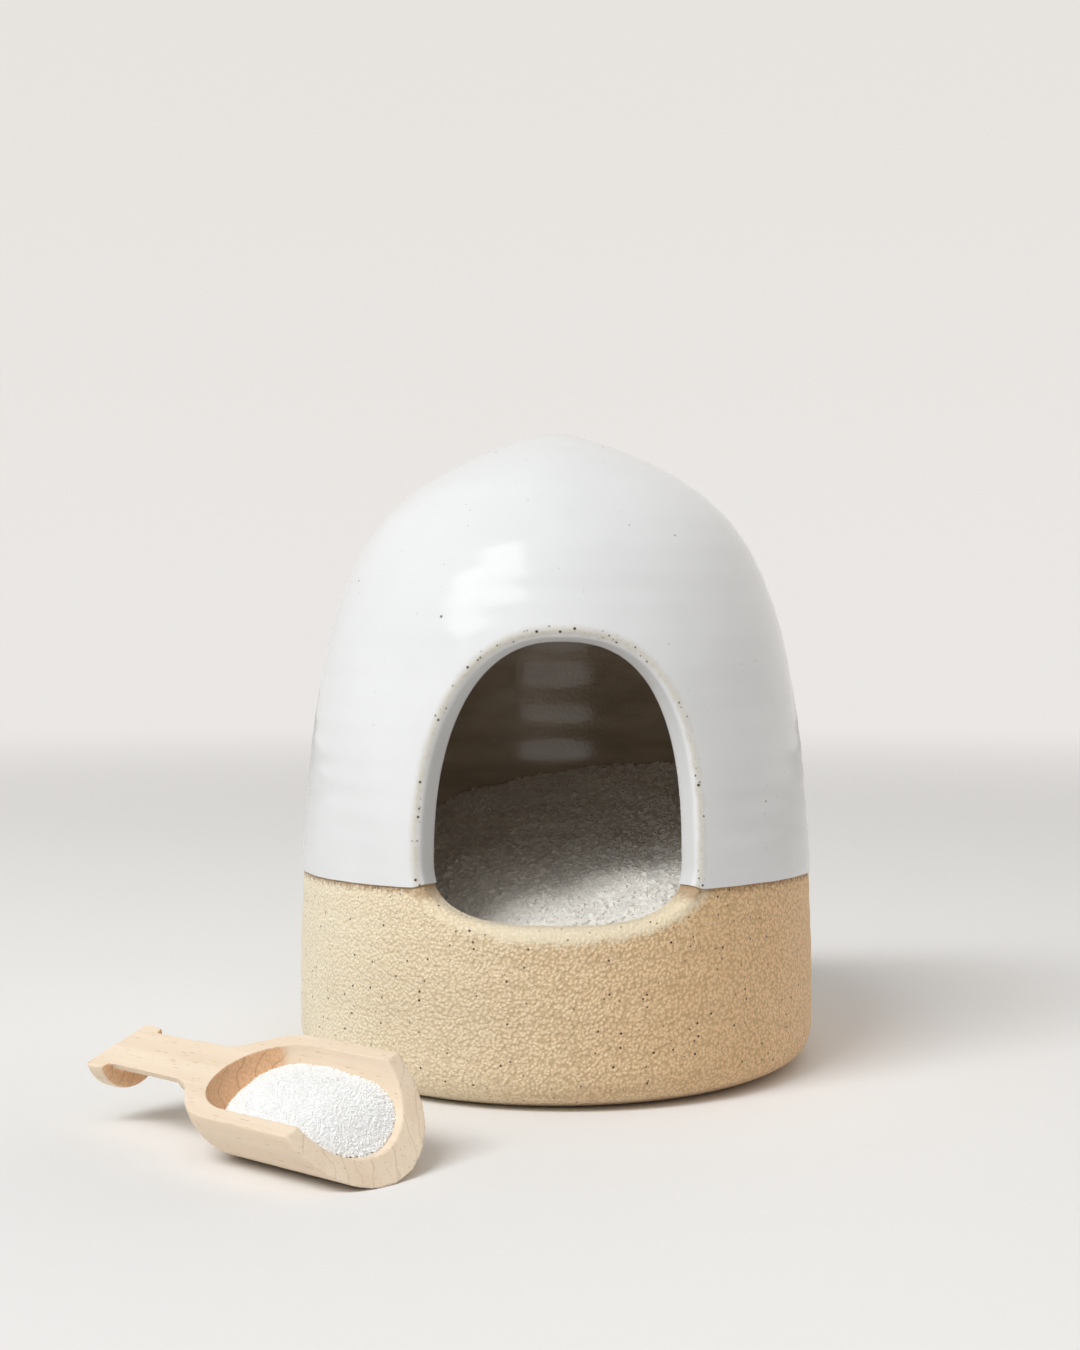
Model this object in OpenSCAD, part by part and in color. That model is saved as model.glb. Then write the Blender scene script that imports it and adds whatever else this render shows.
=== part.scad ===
// Domed stoneware salt cellar with an arched mouth, its fill of coarse salt and its beech scoop.
// The origin is the centre of the pot's flat base, +Z is up and the mouth faces -Y.

/* [Pot] */
// Widest diameter of the pot, just above the foot
body_d = 115; // [105:1:125]
// Height of the pot at the soft point of its crown
body_h = 138.6; // [136:0.2:142]
// Diameter of the flat base that the pot stands on
foot_d = 101; // [96:1:104]
// Height at which the pot is widest
belly_z = 8; // [6:1:12]
// Diameter at the shoulder, where the wall turns in to the crown
shoulder_d = 96.2; // [92:0.2:100]
// Height of the shoulder
shoulder_z = 101.4; // [98:0.1:104]
// Inward lean of the wall at the shoulder, in degrees
shoulder_lean = 19.5; // [15:0.1:25]
// Slope of the crown beside its point, in degrees from level
crown_slope = 16.5; // [14:0.5:20]
// Diameter of the soft point of the crown
tip_d = 10; // [8:1:14]
// Thickness of the thrown wall
wall = 6; // [5:0.5:7]
// Thickness of the floor
floor_t = 8; // [6:0.5:12]

/* [Mouth] */
// Width of the arch at its throat, behind the rounded edge
arch_w = 56.4; // [48:0.2:60]
// Height above the base at which the arch is widest
arch_mid_z = 50; // [47:1:54]
// Height of the arch's crown at its throat
arch_top_z = 94.6; // [88:0.2:98]
// Height of the sill at its throat
sill_z = 36.8; // [34:0.2:40]
// Radius of the rounded edge round the arch
lip_r = 1.3; // [0.8:0.1:1.8]
// Radius of the broader rounded edge of the sill
sill_r = 3; // [2:0.1:4]

/* [Glaze] */
// Thickness of the fired glaze
glaze_t = 0.4; // [0.3:0.05:0.5]
// Height of the glaze line at the pot's axis
glaze_z = 41.3; // [40:0.1:45]
// Tilt of the glaze line, higher at the front, in degrees
glaze_tilt = 2.6; // [0:0.1:3]

/* [Salt] */
// Height of the salt at the pot's axis
salt_z = 46; // [40:1:48]
// Direction in which the salt rises, in degrees from +X
salt_rise_dir = 57; // [45:1:120]
// Slope of the salt, in degrees
salt_slope = 18; // [8:1:20]

/* [Scoop] */
// Diameter of the scoop's bowl
bowl_d = 29.6; // [28:0.2:32]
// Diameter of the bowl's hollow
hollow_d = 23.6; // [21:0.2:25]
// Height of the hollow's axis above the flat top
hollow_rise = 1.6; // [0:0.1:2.5]
// Length of the whole scoop
scoop_l = 72; // [70:0.5:78]
// Distance from the knob's end to the corners of the bowl's mouth
mouth_x = 61.6; // [60:0.2:64]
// Width of the handle at its flat top
handle_w = 12.6; // [10:0.2:13]
// Depth of the handle under its flat top
handle_h = 4; // [3.5:0.1:5.5]
// Diameter of the knob
knob_d = 16; // [14:0.5:17]
// Thickness of the knob
knob_t = 5.5; // [4:0.5:6.5]
// Height of the heaped salt's crown from the scoop's flat top
heap_h = -0.5; // [-1.5:0.1:0.5]

/* [Scoop's place] */
// Where the end of the knob lies from the pot's axis, along X
scoop_x = -86.4; // [-96:0.2:-80]
// Where the end of the knob lies from the pot's axis, along Y
scoop_y = -58.8; // [-70:0.2:-54]
// Turn of the scoop from +X, in degrees
scoop_turn = -38; // [-50:1:-30]
// Roll of the scoop towards its near side, in degrees
scoop_roll = 18; // [0:1:20]

/* [Hidden] */
$fn = 96;
far = 400;

// A cubic curve through p[0] and p[3], drawn towards p[1] and p[2], without its first point
function curve(p, n) = [
  for (i = [1 : n])
    let (t = i / n, u = 1 - t)
      u * u * u * p[0] + 3 * u * u * t * p[1] + 3 * u * t * t * p[2] + t * t * t * p[3]
];

// The pot's section is one line of radius and height, from the base up to the crown's point
belly = [body_d / 2, belly_z];
foot = [foot_d / 2, 0];
shoulder = [shoulder_d / 2, shoulder_z];
tip_drop = 0.7;
tip = [tip_d / 2, body_h - tip_drop];
lean_way = [-sin(shoulder_lean), cos(shoulder_lean)];
crown_way = [-cos(crown_slope), sin(crown_slope)];

// How far each curve of the section is drawn along its two ends
foot_pull = [[5.6, 2.8], [0.5, 5.9]];
wall_pull = [33, 21];
crown_pull = [16.5, 31];
tip_pull = 1.8;
foot_line = curve([foot, foot + foot_pull[0], belly - foot_pull[1], belly], 8);
wall_line = curve([belly, belly + [0, wall_pull[0]], shoulder - wall_pull[1] * lean_way, shoulder], 16);
crown_line = curve([shoulder, shoulder + crown_pull[0] * lean_way, tip - crown_pull[1] * crown_way, tip], 14);
tip_line = curve([tip, tip + tip_pull * crown_way, [tip_pull, body_h], [0, body_h]], 4);
upper_line = concat([belly], wall_line, crown_line, tip_line);
section_line = concat([foot], foot_line, wall_line, crown_line, tip_line);

// The outward normal of a line at its point i
function side(line, i) =
  let (d = line[min(i + 1, len(line) - 1)] - line[max(i - 1, 0)])
    i == len(line) - 1 ? [0, 1] : [d.y, -d.x] / norm(d);

// A line moved outwards by g, square to itself
function moved(line, g) = [for (i = [0 : len(line) - 1]) line[i] + g * side(line, i)];

// The wall's radius at height z, and its outward normal there
radii = [for (p = upper_line) [p.y, p.x]];
function wall_r(z) = lookup(z, radii);
function wall_side(z) =
  let (d = [wall_r(z + 1) - wall_r(z - 1), 2])
    [d.y, -d.x] / norm(d);

// The whole pot without its hollow
module pot_blank() {
  rotate_extrude() polygon(concat([[0, 0]], section_line));
}

// The pot's hollow, shrunk by g: the same section drawn in, with a coved corner at the floor
cove_r = 14;
above_cove = floor_t + cove_r + 1;
module hollow(g = 0) {
  floor_z = floor_t + g;
  cove = cove_r - g;
  inner = [for (p = moved(upper_line, -wall - g)) if (p.y > above_cove) p];
  corner_r = inner[0].x - cove;
  corner = [for (a = [-90 : 10 : 0]) [corner_r + cove * cos(a), floor_z + cove + cove * sin(a)]];
  rotate_extrude() polygon(concat([[0, floor_z]], corner, inner));
}

// The arch is drawn square to the front, as a template would be, and is cut square to the wall.
// Its upper part is an ellipse, fuller on the right than on the left, and its sill has tighter corners.
arch_points = 60;
left_power = 2.25;
right_power = 2.6;
sill_power = 3;
function full(v, power) = sign(v) * pow(abs(v), 2 / power);
function arch_outline(a, e) =
  let (up = sin(a) >= 0, power = up ? (cos(a) > 0 ? right_power : left_power) : sill_power)
    let (rise = up ? arch_top_z - arch_mid_z : arch_mid_z - sill_z)
      [(arch_w / 2 + e) * full(cos(a), power), arch_mid_z + (rise + e) * full(sin(a), power)];

// How far the rounded edge opens the arch at angle a and depth d, flaring on outside the wall
function edge_r(a) = lip_r + (sill_r - lip_r) * pow(max(0, -sin(a)), 2);
flare = 3;
function opened(r, d) = d >= r ? 0 : d <= 0 ? r - flare * d : r - sqrt(r * r - pow(r - d, 2));

// A point at angle a round the arch opened by e, at depth d into the wall lined with a coat of thickness g
function arch_point(a, e, d, g) =
  let (q = arch_outline(a, e))
    let (n = wall_side(q.y), turn = asin(q.x / wall_r(q.y)))
      let (r = wall_r(q.y) + (g - d) * n.x)
        [r * sin(turn), -r * cos(turn), q.y + (g - d) * n.y];

// Rings of such points: one that follows the rounded edge, drawn in by gap,
// and one that stays at its outer line
arch_angles = [for (i = [0 : arch_points - 1]) 360 * i / arch_points];
function edge_ring(d, g = 0, gap = 0) = [
  for (a = arch_angles) arch_point(a, opened(edge_r(a) + g, d) - g - gap, d, g)
];
function outer_ring(d, gap) = [for (a = arch_angles) arch_point(a, edge_r(a) + gap, d, 0)];
function in_front(ring) = [for (p = ring) [p.x, -body_d, p.z]];

// The two triangles of each field between ring a and ring b of a loft
function band(a, b) = [
  for (i = [0 : arch_points - 1])
    let (j = (i + 1) % arch_points, p = a * arch_points, q = b * arch_points)
      each [[p + i, q + j, q + i], [p + i, p + j, q + j]]
];

// A solid plug through the rings, from the front inwards
module arch_plug(rings) {
  n = len(rings) - 1;
  sides = [for (k = [0 : n - 1]) each band(k, k + 1)];
  first = [for (i = [arch_points - 1 : -1 : 0]) i];
  last = [for (i = [0 : arch_points - 1]) n * arch_points + i];
  polyhedron(points = [for (r = rings) each r], faces = concat([first], sides, [last]));
}

// A closed sleeve through the rings, which come back to the first
module arch_sleeve(rings) {
  n = len(rings);
  polyhedron(points = [for (r = rings) each r], faces = [for (k = [0 : n - 1]) each band(k, (k + 1) % n)]);
}

// The cut through the wall, with its rounded edge
edge_depths = [0.25, 0.8, 1.6, sill_r];
clear_of_wall = -0.1;
clear_of_glaze = -1;
past_wall = wall + 5;
module arch_cut() {
  start = edge_ring(clear_of_wall);
  arch_plug(concat([in_front(start), start], [for (d = edge_depths) edge_ring(d)], [edge_ring(past_wall)]));
}

// The gap left between the coats and at the arch's clay, so that faceted faces stay apart
hairline = 0.06;

// The coat on the dome, as far as the arch's rounded edge
module dome_coat() {
  face = moved(upper_line, glaze_t);
  start = outer_ring(clear_of_glaze, hairline);
  difference() {
    rotate_extrude() polygon(concat(upper_line, [for (i = [len(face) - 1 : -1 : 0]) face[i]]));
    arch_plug([in_front(start), start, outer_ring(past_wall, hairline)]);
  }
}

// The coat on the edge and the reveal: in along the clay, then back out along the glaze's own face
module arch_coat() {
  clay = [for (d = concat([0], edge_depths, [wall])) edge_ring(d, 0, hairline)];
  depths = concat([0], edge_depths, [wall + glaze_t]);
  face = [for (i = [len(depths) - 1 : -1 : 0]) edge_ring(depths[i], glaze_t)];
  arch_sleeve(concat(clay, face));
}

// Everything above the tilted glaze line
module glaze_side() {
  translate([0, 0, glaze_z]) rotate([-glaze_tilt, 0, 0]) translate([-far / 2, -far / 2, 0]) cube(far);
}

// Everything below the sloping top of the salt
module salt_side() {
  translate([0, 0, salt_z]) rotate([0, 0, salt_rise_dir]) rotate([0, -salt_slope, 0])
    translate([-far / 2, -far / 2, -far]) cube(far);
}

module stoneware_body() {
  color("#d8c2a0") difference() {
    pot_blank();
    hollow();
    arch_cut();
  }
}

// The white coat on the dome, down to the tilted glaze line
module dome_glaze() {
  color("#eceef0") intersection() {
    glaze_side();
    dome_coat();
  }
}

// The same coat where it turns in over the arch's edge to the inner face
module arch_glaze() {
  color("#d9d4c8") intersection() {
    glaze_side();
    arch_coat();
  }
}

// The clear liner covers the whole inside up to the arch's edge
module liner_glaze() {
  color("#7a6a58") difference() {
    hollow();
    hollow(glaze_t);
    arch_cut();
  }
}

module salt_bed() {
  color("#f4f4f2") intersection() {
    hollow(glaze_t);
    salt_side();
  }
}

// The scoop is turned about its own X axis and sawn flat along that axis
bowl_r = bowl_d / 2;
neck = [24, 6];
neck_pull = [6.5, 0.6];
bowl = [40, bowl_r];
bowl_pull = 8;
hollow_start = 31.2;
hollow_r = hollow_d / 2;
hollow_x = hollow_start + hollow_r;
handle_r = (pow(handle_w / 2, 2) + handle_h * handle_h) / (2 * handle_h);
knob_r = knob_d / 2;
knob_edge = 1.6;
knob_bevel = 1;
handle_lap = 1;

module along_x(x = 0, z = 0) {
  translate([x, 0, z]) rotate([0, 90, 0]) children();
}

module in_scoop_place() {
  translate([scoop_x, scoop_y, bowl_r]) rotate([scoop_roll, 0, scoop_turn]) children();
}

// Everything behind the slanted cut of the mouth
module mouth_side() {
  slant = atan2(scoop_l - mouth_x, bowl_r);
  translate([mouth_x, 0, 0]) rotate([0, -slant, 0]) translate([-far, -far / 2, -far / 2]) cube(far);
}

// The knob is a disc with a bevelled end and a rounded rim towards the handle
module knob() {
  end = [[0, 0], [knob_r - knob_bevel, 0], [knob_r, knob_bevel]];
  rim = [for (a = [0 : 15 : 90]) [knob_r - knob_edge * (1 - cos(a)), knob_t - knob_edge * (1 - sin(a))]];
  along_x() rotate_extrude() polygon(concat(end, rim, [[0, knob_t]]));
}

// The bowl swells in one line from a cove at the handle to its full width
module bowl_blank() {
  swell = curve([neck, neck + neck_pull, bowl - [bowl_pull, 0], bowl], 12);
  line = concat([neck], swell, [[scoop_l, bowl_r]]);
  along_x() rotate_extrude() polygon(concat([[0, neck.x]], [for (p = line) [p.y, p.x]], [[0, scoop_l]]));
}

module scoop_hollow(shrink = 0) {
  r = hollow_r - shrink;
  along_x(hollow_x, hollow_rise) cylinder(r = r, h = far);
  translate([hollow_x, 0, hollow_rise]) sphere(r = r);
}

module wooden_scoop() {
  color("#e9cfae") in_scoop_place() intersection() {
    mouth_side();
    translate([-far / 2, -far / 2, -far]) cube(far);
    difference() {
      union() {
        knob();
        along_x(knob_t - handle_lap, handle_r - handle_h) cylinder(r = handle_r, h = bowl.x - knob_t);
        bowl_blank();
      }
      scoop_hollow();
    }
  }
}

// The heap is a shallow cap, higher at the scoop's low side, that runs out at the mouth
heap_at = [50, -4];
heap_r = 24;
heap_gap = 0.05;
module scoop_salt() {
  color("#fafafa") in_scoop_place() intersection() {
    scoop_hollow(heap_gap);
    translate([heap_at.x, heap_at.y, heap_h - heap_r]) sphere(r = heap_r);
  }
}

stoneware_body();
dome_glaze();
arch_glaze();
liner_glaze();
salt_bed();
wooden_scoop();
scoop_salt();
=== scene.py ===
import math

import bmesh
import bpy
import numpy as np
from mathutils import Euler, Matrix, Vector, noise


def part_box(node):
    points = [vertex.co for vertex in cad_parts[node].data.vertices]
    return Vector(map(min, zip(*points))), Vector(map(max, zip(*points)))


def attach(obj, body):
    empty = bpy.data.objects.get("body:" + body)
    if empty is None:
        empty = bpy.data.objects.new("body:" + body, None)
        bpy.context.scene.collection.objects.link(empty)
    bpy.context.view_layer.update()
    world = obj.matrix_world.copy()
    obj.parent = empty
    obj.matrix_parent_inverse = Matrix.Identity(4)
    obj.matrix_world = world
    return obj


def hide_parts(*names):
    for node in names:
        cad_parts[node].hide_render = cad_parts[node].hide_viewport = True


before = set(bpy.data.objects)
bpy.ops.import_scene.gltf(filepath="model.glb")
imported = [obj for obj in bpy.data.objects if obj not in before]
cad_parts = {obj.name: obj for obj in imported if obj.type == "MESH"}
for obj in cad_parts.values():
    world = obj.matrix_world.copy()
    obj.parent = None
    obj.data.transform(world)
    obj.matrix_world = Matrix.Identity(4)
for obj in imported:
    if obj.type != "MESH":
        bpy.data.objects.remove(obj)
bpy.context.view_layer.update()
mm = 0.001


# Helpers for modelling

def startFresh():
    if bpy.context.object and bpy.context.object.mode != "OBJECT":
        bpy.ops.object.mode_set(mode="OBJECT")
    bpy.ops.object.select_all(action="DESELECT")


def takeUp(name):
    piece = bpy.context.object
    piece.name = name
    piece.data.name = name
    return piece


def pick(piece):
    startFresh()
    piece.select_set(True)
    bpy.context.view_layer.objects.active = piece


def useModifier(piece, kind, **settings):
    pick(piece)
    modifier = piece.modifiers.new(kind.title(), kind)
    for key, value in settings.items():
        setattr(modifier, key, value)
    bpy.ops.object.modifier_apply(modifier=modifier.name)


def smoothFaces(piece, angle):
    pick(piece)
    bpy.ops.object.shade_smooth_by_angle(angle=math.radians(angle))


def faceOutwards(piece):
    pick(piece)
    bpy.ops.object.mode_set(mode="EDIT")
    bpy.ops.mesh.select_all(action="SELECT")
    bpy.ops.mesh.normals_make_consistent(inside=False)
    bpy.ops.object.mode_set(mode="OBJECT")


def readPoints(piece):
    flat = np.empty(len(piece.data.vertices) * 3)
    piece.data.vertices.foreach_get("co", flat)
    return flat.reshape(-1, 3)


def writePoints(piece, points):
    piece.data.vertices.foreach_set("co", np.asarray(points, dtype=float).ravel())
    piece.data.update()


def writeMask(piece, name, values):
    mask = piece.data.attributes.new(name, "FLOAT", "POINT")
    mask.data.foreach_set("value", np.asarray(values, dtype=float))


def drawLine(points, name):
    # one point that is extruded from place to place
    startFresh()
    bpy.ops.mesh.primitive_plane_add(size=mm)
    piece = takeUp(name)
    bpy.ops.object.mode_set(mode="EDIT")
    bpy.ops.mesh.merge(type="CENTER")
    bpy.ops.transform.translate(value=points[0])
    for here, there in zip(points, points[1:]):
        bpy.ops.mesh.extrude_region_move(TRANSFORM_OT_translate={"value": there - here})
    return piece


def spinLine(points, name, columns):
    piece = drawLine(points, name)
    bpy.ops.mesh.select_all(action="SELECT")
    bpy.ops.mesh.spin(steps=columns, angle=math.tau, center=(0, 0, 0), axis=(0, 0, 1))
    bpy.ops.mesh.select_all(action="SELECT")
    bpy.ops.mesh.remove_doubles(threshold=0.02 * mm)
    bpy.ops.mesh.normals_make_consistent(inside=False)
    bpy.ops.object.mode_set(mode="OBJECT")
    return piece


def finishPiece(piece, body, slot, material, *nodes):
    piece.data.materials.clear()
    piece.data.materials.append(material)
    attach(piece, body)
    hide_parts(*nodes)
    print(piece.name, len(piece.data.polygons), "faces")


# Helpers for materials

def newMaterial(name):
    material = bpy.data.materials.new(name)
    material.use_nodes = True
    return material.node_tree, material.node_tree.nodes["Principled BSDF"], material


def addNode(tree, kind, settings=None, inputs=None):
    made = tree.nodes.new("ShaderNode" + kind)
    for key, value in (settings or {}).items():
        setattr(made, key, value)
    for key, value in (inputs or {}).items():
        plug(tree, made.inputs[key], value)
    return made


def plug(tree, socket, value):
    if isinstance(value, bpy.types.NodeSocket):
        tree.links.new(value, socket)
    else:
        socket.default_value = value


def mixColour(tree, share, low, high, mode="MIX"):
    made = addNode(tree, "Mix", {"data_type": "RGBA", "blend_type": mode})
    plug(tree, made.inputs[0], share)
    plug(tree, made.inputs[6], low)
    plug(tree, made.inputs[7], high)
    return made.outputs[2]


def sums(tree, kind, first, second=0.0):
    made = addNode(tree, "Math", {"operation": kind})
    plug(tree, made.inputs[0], first)
    plug(tree, made.inputs[1], second)
    return made.outputs[0]


def fade(tree, value, start, end, low=0.0, high=1.0):
    made = addNode(tree, "MapRange", {"interpolation_type": "SMOOTHSTEP"})
    for key, setting in (("Value", value), ("From Min", start), ("From Max", end),
                         ("To Min", low), ("To Max", high)):
        plug(tree, made.inputs[key], setting)
    return made.outputs[0]


def placeOf(tree):
    return addNode(tree, "TexCoord").outputs["Object"]


def stretched(tree, place, scale):
    return addNode(tree, "Mapping", None, {"Vector": place, "Scale": scale}).outputs[0]


def cloudy(tree, place, scale, detail):
    return addNode(tree, "TexNoise", None, {"Vector": place, "Scale": scale, "Detail": detail}).outputs[0]


def twoTone(tree, pattern, low, high):
    return mixColour(tree, fade(tree, pattern, 0.3, 0.7), low, high)


def ragged(tree, name, place, scale, detail, by):
    # a mask in mm whose contours waver by a few tenths
    waver = fade(tree, cloudy(tree, place, scale, detail), 0.2, 0.8, -by, by)
    return sums(tree, "ADD", readMask(tree, name), waver)


def towards(tree, way, goal):
    # 1 where a direction meets the goal, 0 square to it and -1 opposite
    return addNode(tree, "VectorMath", {"operation": "DOT_PRODUCT"}, {0: way, 1: goal}).outputs["Value"]


def cells(tree, place, scale):
    # a cell pattern: how far it is to the middle of the cell, and two random numbers for each cell
    made = addNode(tree, "TexVoronoi", None, {"Vector": place, "Scale": scale})
    lot = addNode(tree, "SeparateColor", None, {"Color": made.outputs["Color"]})
    return made.outputs["Distance"], lot.outputs[0], lot.outputs[1]


def specks(tree, place, scale, share, size):
    # a share of the cells gets a round dot, up to size of a cell in radius
    away, lot, other = cells(tree, place, scale)
    chosen = sums(tree, "LESS_THAN", lot, share)
    width = sums(tree, "MULTIPLY", fade(tree, other, 0.0, 1.0, 0.4, 1.0), size)
    dot = fade(tree, sums(tree, "SUBTRACT", away, width), -0.4 * size, 0.4 * size, 1.0, 0.0)
    return sums(tree, "MULTIPLY", dot, chosen)


def readMask(tree, name, output="Fac"):
    return addNode(tree, "Attribute", {"attribute_name": name}).outputs[output]


def bumped(tree, shader, height, strength, distance):
    made = addNode(tree, "Bump", None, {"Height": height, "Strength": strength, "Distance": distance})
    tree.links.new(made.outputs[0], shader.inputs["Normal"])


def paint(red, green, blue):
    # a colour written as it shows on a screen, from 0 to 255
    def linear(v):
        v = v / 255
        return v / 12.92 if v <= 0.04045 else ((v + 0.055) / 1.055) ** 2.4
    return (linear(red), linear(green), linear(blue), 1.0)


# Camera, floor, light

shot = {"place": (-3.6, -420.0, 98.0), "pitch": 1.8, "lens": 49.7, "sensor": 36}

cameraData = bpy.data.cameras.new("camera")
cameraData.lens = shot["lens"]
cameraData.sensor_width = shot["sensor"]
camera = bpy.data.objects.new("camera", cameraData)
camera.location = Vector(shot["place"]) * mm
camera.rotation_euler = (math.radians(90 - shot["pitch"]), 0, 0)
bpy.context.scene.collection.objects.link(camera)
bpy.context.scene.camera = camera
bpy.context.scene.view_settings.view_transform = "Standard"

studio = {
    "floorColour": paint(235, 234, 233),
    "floorSize": 6.0,
    "floorRoughness": 0.85,
    "floorSpecular": 0.2,
    "fadeStart": 0.35,
    "fadeEnd": 1.3,
    "horizon": paint(234, 231, 228),
    "top": paint(231, 227, 223),
    "skyBright": 0.27,
    "skyDark": 0.14,
    "skyFront": 0.8,
    "skyBack": 1.9,
    "brightWay": (-0.5, 0.05, 0.86),
    "backWay": (0.7, 0.71, -0.08),
    "skyColour": (1.0, 0.955, 0.9, 1.0),
    "lampAim": (0, 0, 0.07),
}
# where each lamp stands, as turn from the front and rise in degrees, then its size and power
lamps = {
    "key": {
        "turn": -47,
        "rise": 48,
        "away": 2.0,
        "size": (1.2, 0.4),
        "spin": 45,
        "power": 23.0,
        "colour": (0.96, 0.985, 1.0),
        "glossy": False,
    },
    "softbox": {
        "turn": -44,
        "rise": 41,
        "away": 2.0,
        "size": (1.3, 0.7),
        "spin": 45,
        "power": 6.6,
        "colour": (0.98, 0.99, 1.0),
        "glossy": True,
    },
    "fill": {
        "turn": 0,
        "rise": 60,
        "away": 2.0,
        "size": (1.4, 1.4),
        "spin": 0,
        "power": 7.4,
        "colour": (1.0, 0.99, 0.97),
        "glossy": False,
    },
}


def makeFloor():
    startFresh()
    bpy.ops.mesh.primitive_plane_add(size=studio["floorSize"])
    floor = takeUp("floor")
    tree, shader, material = newMaterial("palePaper")
    place = placeOf(tree)
    shader.inputs["Base Color"].default_value = studio["floorColour"]
    shader.inputs["Roughness"].default_value = studio["floorRoughness"]
    shader.inputs["Specular IOR Level"].default_value = studio["floorSpecular"]
    out = addNode(tree, "VectorMath", {"operation": "LENGTH"}, {0: place}).outputs["Value"]
    seen = addNode(tree, "LightPath").outputs["Is Camera Ray"]
    share = sums(tree, "MULTIPLY", fade(tree, out, studio["fadeStart"], studio["fadeEnd"]), seen)
    glow = addNode(tree, "Emission", None, {"Color": studio["horizon"], "Strength": 1.0})
    blend = addNode(tree, "MixShader", None, {0: share, 1: shader.outputs[0], 2: glow.outputs[0]})
    tree.links.new(blend.outputs[0], tree.nodes["Material Output"].inputs["Surface"])
    floor.data.materials.append(material)


def makeSky():
    world = bpy.data.worlds.new("studioRoom")
    bpy.context.scene.world = world
    world.use_nodes = True
    tree = world.node_tree
    tree.nodes.clear()
    way = addNode(tree, "TexCoord").outputs["Generated"]
    axes = addNode(tree, "SeparateXYZ", None, {"Vector": way})
    rise = fade(tree, axes.outputs[2], 0.0, 0.35)
    backdrop = mixColour(tree, rise, studio["horizon"], studio["top"])
    # the room is lighter to the left and above, darker in front, and has a pale wall behind to the right
    bright = towards(tree, way, studio["brightWay"])
    back = towards(tree, way, studio["backWay"])
    level = fade(tree, bright, -0.75, 0.75, studio["skyDark"], studio["skyBright"])
    level = sums(tree, "MULTIPLY", level, fade(tree, axes.outputs[1], -0.9, 0.1, studio["skyFront"], 1.0))
    level = sums(tree, "ADD", level, fade(tree, back, 0.5, 0.98, 0.0, studio["skyBack"]))
    rays = addNode(tree, "LightPath")
    mirrored = sums(tree, "MAXIMUM", rays.outputs["Is Glossy Ray"], rays.outputs["Is Transmission Ray"])
    shows = sums(tree, "MAXIMUM", rays.outputs["Is Camera Ray"], mirrored)
    seen = addNode(tree, "Background", None, {"Color": backdrop, "Strength": 1.0})
    lit = addNode(tree, "Background", None, {"Color": studio["skyColour"], "Strength": level})
    blend = addNode(tree, "MixShader", None, {0: shows, 1: lit.outputs[0], 2: seen.outputs[0]})
    out = addNode(tree, "OutputWorld")
    tree.links.new(blend.outputs[0], out.inputs["Surface"])


def makeLamp(name, values):
    lampData = bpy.data.lights.new(name, "AREA")
    lampData.shape = "RECTANGLE"
    lampData.size, lampData.size_y = values["size"]
    lampData.energy = values["power"]
    lampData.color = values["colour"]
    lamp = bpy.data.objects.new(name, lampData)
    turn = math.radians(values["turn"])
    rise = math.radians(values["rise"])
    way = Vector((math.sin(turn) * math.cos(rise), -math.cos(turn) * math.cos(rise), math.sin(rise)))
    lamp.location = Vector(studio["lampAim"]) + way * values["away"]
    spin = Matrix.Rotation(math.radians(values["spin"]), 3, "Z")
    lamp.rotation_euler = (way.to_track_quat("Z", "Y").to_matrix() @ spin).to_euler()
    lamp.visible_glossy = values["glossy"]
    bpy.context.scene.collection.objects.link(lamp)


makeFloor()
makeSky()
for lampName, lampValues in lamps.items():
    makeLamp(lampName, lampValues)
print("studio ready")


# The pot's section, as radius and height in mm

potLow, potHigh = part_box("stoneware_body")
pot = {
    "belly": Vector(((potHigh.x - potLow.x) / 2 / mm, 8.0)),
    "foot": Vector((50.5, 0.0)),
    "footPull": (Vector((5.6, 2.8)), Vector((0.5, 5.9))),
    "wallPull": (33, 21),
    "shoulder": Vector((48.1, 101.4)),
    "lean": 19.5,
    "crownPull": (16.5, 31),
    "crownSlope": 16.5,
    "tipPull": 1.8,
    "tip": Vector((5.0, potHigh.z / mm - 0.7)),
    "peak": Vector((0.0, potHigh.z / mm)),
    "wall": 6.0,
    "floor": 8.0,
    "cove": 14.0,
    "columns": 120,
    "rowStep": 3.3,
    "middle": Vector((0, 0, 60.0)),
}
# the rings that the potter's fingers leave, in mm: how deep, how far apart and over what length they fade
throwRings = {
    "deep": 0.12,
    "pitch": 6.2,
    "slowPitch": 23.0,
    "innerPitch": 9.5,
    "innerShift": 2.4,
    "innerGain": 1.6,
    "crownFade": 18.0,
    "footFade": 8.0,
    "edgeFade": 6.0,
}
arch = {
    "halfWidth": 28.2,
    "midZ": 50.0,
    "topZ": 94.6,
    "sillZ": 36.8,
    "leftPower": 2.25,
    "rightPower": 2.6,
    "sillPower": 3.0,
    "lip": 1.3,
    "sillLip": 3.0,
    "windowTurn": 45.0,
    "windowLow": 26.0,
    "windowHigh": 107.0,
    "innerWindowHigh": 103.0,
    "innerEdge": 0.6,
    "innerSeam": 3.0,
}
glaze = {
    "thick": 0.4,
    "height": 41.3,
    "tilt": 2.6,
    "waver": 0.35,
    "waverPace": (3.2, 14.0),
    "levelFrom": 100.0,
    "linerThick": 0.35,
    "linerGap": 0.3,
}


def curveLine(a, b, c, d, count=60):
    line = []
    for i in range(1, count + 1):
        t = i / count
        u = 1 - t
        line.append(a * u ** 3 + b * (3 * u * u * t) + c * (3 * u * t * t) + d * t ** 3)
    return line


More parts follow.
